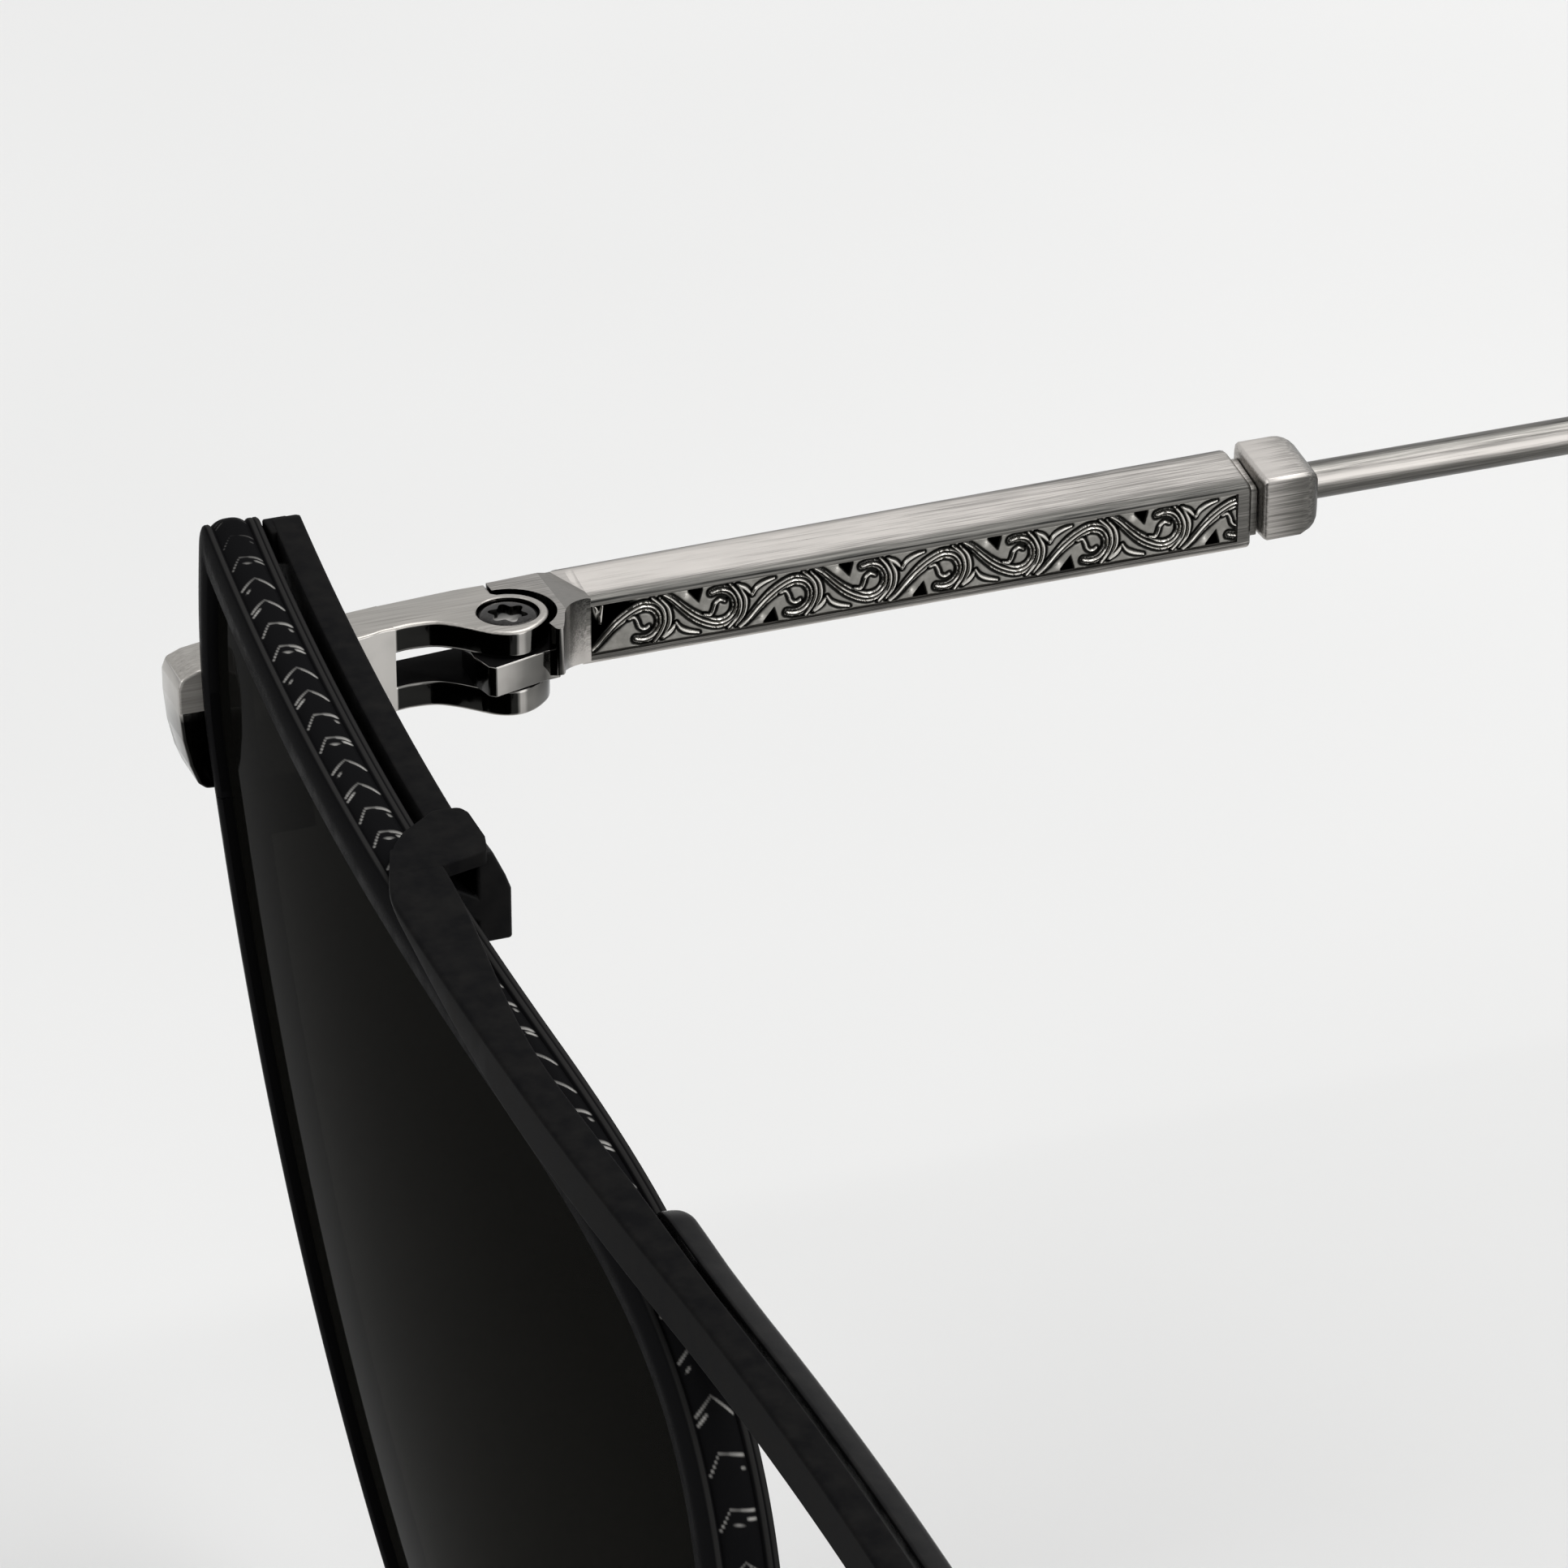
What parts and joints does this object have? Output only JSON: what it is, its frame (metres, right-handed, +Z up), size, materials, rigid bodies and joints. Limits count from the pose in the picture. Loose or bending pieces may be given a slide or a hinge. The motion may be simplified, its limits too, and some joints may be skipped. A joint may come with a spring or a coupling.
{
  "type": "sunglasses",
  "caption": "Metal sunglasses with a brow bar over curved dark lenses, screw hinges and folding temples with a decorated bar, a plain wire and dark ear tips.",
  "frame": {"origin": "centre of the bottom of the bounding box, on the surface that the rims and ear tips stand on", "axes": "+X towards the wearer's left, +Y back along the open temples, +Z up"},
  "size_m": [0.137, 0.1478, 0.0447],
  "materials": {
    "brushed_silver": "brushed lengthwise, polished at the hinge",
    "satin_black": "satin",
    "gloss_black": "gloss",
    "smoke_lens": "polished, very dark",
    "dark_screw": "polished",
    "clear_pad": "translucent",
    "dark_tip": "polished"
  },
  "bodies": {
    "front": {"top_bar": "satin_black", "bridge": "gloss_black", "rim_right": "gloss_black", "lens_right": "smoke_lens", "end_piece_right": "brushed_silver", "rim_lock_right": "gloss_black", "lock_screw_right": "dark_screw", "hinge_screw_right": "dark_screw", "bar_bracket_right": "gloss_black", "pad_arm_right": "brushed_silver", "pad_screw_right": "dark_screw", "rim_left": "gloss_black", "lens_left": "smoke_lens", "end_piece_left": "brushed_silver", "rim_lock_left": "gloss_black", "lock_screw_left": "dark_screw", "hinge_screw_left": "dark_screw", "bar_bracket_left": "gloss_black", "pad_arm_left": "brushed_silver", "pad_screw_left": "dark_screw"},
    "temple_right": {"temple_bar_right": "brushed_silver", "temple_cap_right": "brushed_silver", "temple_wire_right": "brushed_silver", "temple_tip_right": "dark_tip"},
    "pad_right": {"nose_pad_right": "clear_pad"},
    "temple_left": {"temple_bar_left": "brushed_silver", "temple_cap_left": "brushed_silver", "temple_wire_left": "brushed_silver", "temple_tip_left": "dark_tip"},
    "pad_left": {"nose_pad_left": "clear_pad"}
  },
  "joints": [
    {"name": "temple_right_fold", "type": "hinge", "parent": "front", "child": "temple_right", "pos_m": [-0.065, -0.05912, 0.03762], "axis": [0, 0, -1], "range_deg": [0, 90]},
    {"name": "temple_left_fold", "type": "hinge", "parent": "front", "child": "temple_left", "pos_m": [0.065, -0.05912, 0.03762], "axis": [0, 0, 1], "range_deg": [0, 80]},
    {"name": "pad_right_rock", "type": "hinge", "parent": "front", "child": "pad_right", "pos_m": [-0.01049, -0.06561, 0.02321], "axis": [-0.443, 0.8965, 0], "range_deg": [-10, 10]},
    {"name": "pad_left_rock", "type": "hinge", "parent": "front", "child": "pad_left", "pos_m": [0.01049, -0.06561, 0.02321], "axis": [0.443, 0.8965, 0], "range_deg": [-10, 10]}
  ]
}
